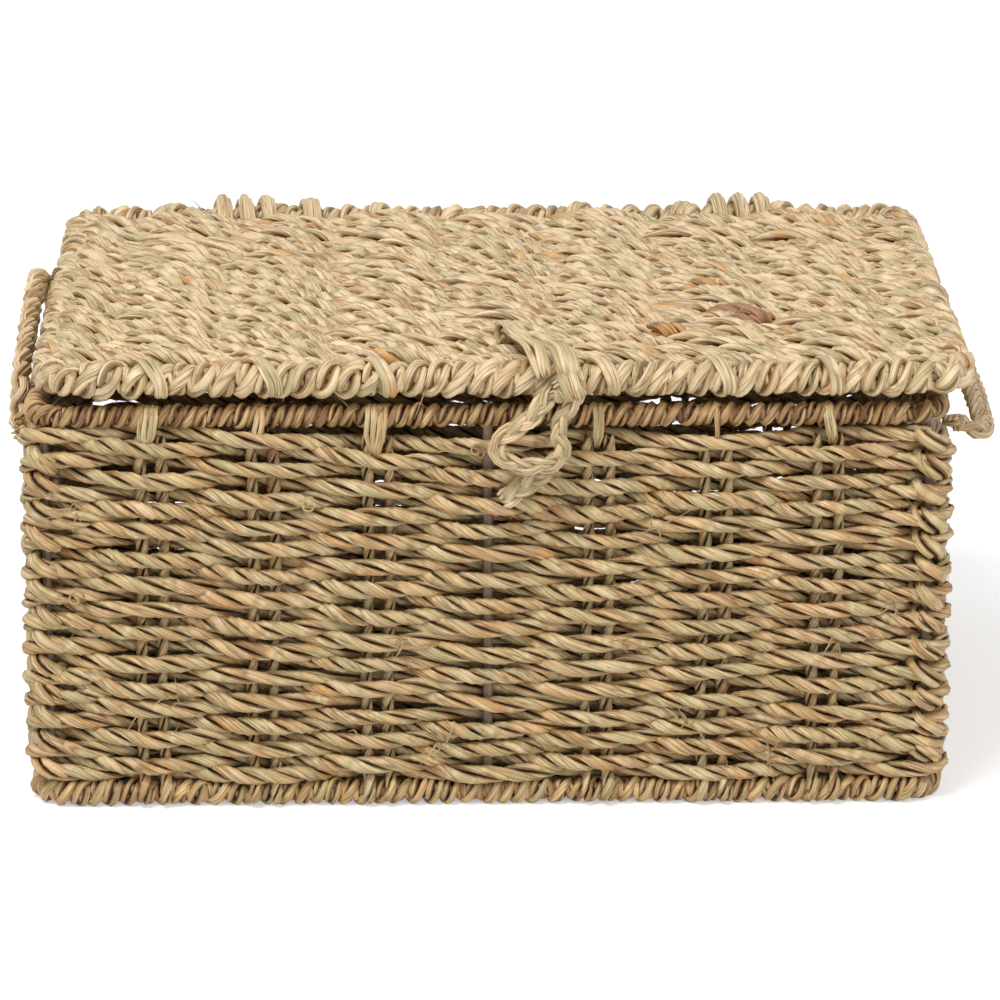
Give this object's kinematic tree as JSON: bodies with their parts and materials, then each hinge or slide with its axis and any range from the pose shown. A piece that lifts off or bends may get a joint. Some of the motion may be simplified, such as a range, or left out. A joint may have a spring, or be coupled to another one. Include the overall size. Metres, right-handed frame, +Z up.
{
  "type": "woven lidded box",
  "caption": "Rectangular box woven from grass cord on a wire frame, with a lashed hinged lid, a loop and toggle clasp and plaited end handles.",
  "frame": {"origin": "middle of the underside, on the surface the box stands on", "axes": "+X to the right along the long side, +Y to the back where the lid is lashed, +Z up"},
  "size_m": [0.3986, 0.3035, 0.1905],
  "materials": {
    "seagrass_body": "matte",
    "seagrass_rim": "matte",
    "seagrass_lid": "matte",
    "seagrass_plait": "matte",
    "frame_wire": "satin"
  },
  "bodies": {
    "basket": {"top_rim_wire": "frame_wire", "base_rim_wire": "frame_wire", "corner_post_front_left": "frame_wire", "corner_post_front_right": "frame_wire", "corner_post_back_left": "frame_wire", "corner_post_back_right": "frame_wire", "mid_post_front": "frame_wire", "mid_post_back": "frame_wire", "base_cross_wire": "frame_wire", "rim_binding": "seagrass_rim", "base_binding": "seagrass_rim", "wall_weave_front": "seagrass_body", "wall_weave_back": "seagrass_body", "wall_weave_right": "seagrass_body", "wall_weave_left": "seagrass_body", "base_weave": "seagrass_body", "stake_front_1": "seagrass_body", "stake_front_2": "seagrass_body", "stake_front_3": "seagrass_body", "stake_front_4": "seagrass_body", "stake_front_5": "seagrass_body", "stake_front_6": "seagrass_body", "stake_back_1": "seagrass_body", "stake_back_2": "seagrass_body", "stake_back_3": "seagrass_body", "stake_back_4": "seagrass_body", "stake_back_5": "seagrass_body", "stake_back_6": "seagrass_body", "stake_right_1": "seagrass_body", "stake_right_2": "seagrass_body", "stake_right_3": "seagrass_body", "stake_right_4": "seagrass_body", "stake_right_5": "seagrass_body", "stake_left_1": "seagrass_body", "stake_left_2": "seagrass_body", "stake_left_3": "seagrass_body", "stake_left_4": "seagrass_body", "stake_left_5": "seagrass_body", "hinge_lashing_left": "seagrass_plait", "hinge_lashing_right": "seagrass_plait", "clasp_toggle": "seagrass_plait"},
    "lid": {"lid_rim_wire": "frame_wire", "lid_cross_wire": "frame_wire", "lid_binding": "seagrass_lid", "lid_weave": "seagrass_lid", "lid_stake_1": "seagrass_lid", "lid_stake_2": "seagrass_lid", "lid_stake_3": "seagrass_lid", "lid_stake_4": "seagrass_lid", "lid_stake_5": "seagrass_lid", "lid_stake_6": "seagrass_lid", "clasp_leg": "seagrass_plait", "clasp_knot": "seagrass_plait"},
    "clasp": {"clasp_loop": "seagrass_plait"},
    "handle_left": {"handle_left": "seagrass_plait"},
    "handle_right": {"handle_right": "seagrass_plait"}
  },
  "joints": [
    {"name": "lid_hinge", "type": "hinge", "parent": "basket", "child": "lid", "pos_m": [0, 0.1344, 0.1762], "axis": [-1, 0, 0], "range_deg": [0, 200]},
    {"name": "clasp_swing", "type": "hinge", "parent": "lid", "child": "clasp", "pos_m": [0.0315, -0.15145, 0.1762], "axis": [-1, 0, 0], "range_deg": [0, 110]},
    {"name": "handle_left_swing", "type": "hinge", "parent": "basket", "child": "handle_left", "pos_m": [-0.1866, 0, 0.15], "axis": [0, -1, 0], "range_deg": [0, 165]},
    {"name": "handle_right_swing", "type": "hinge", "parent": "basket", "child": "handle_right", "pos_m": [0.1866, 0, 0.15], "axis": [0, -1, 0], "range_deg": [-42, 100]}
  ]
}
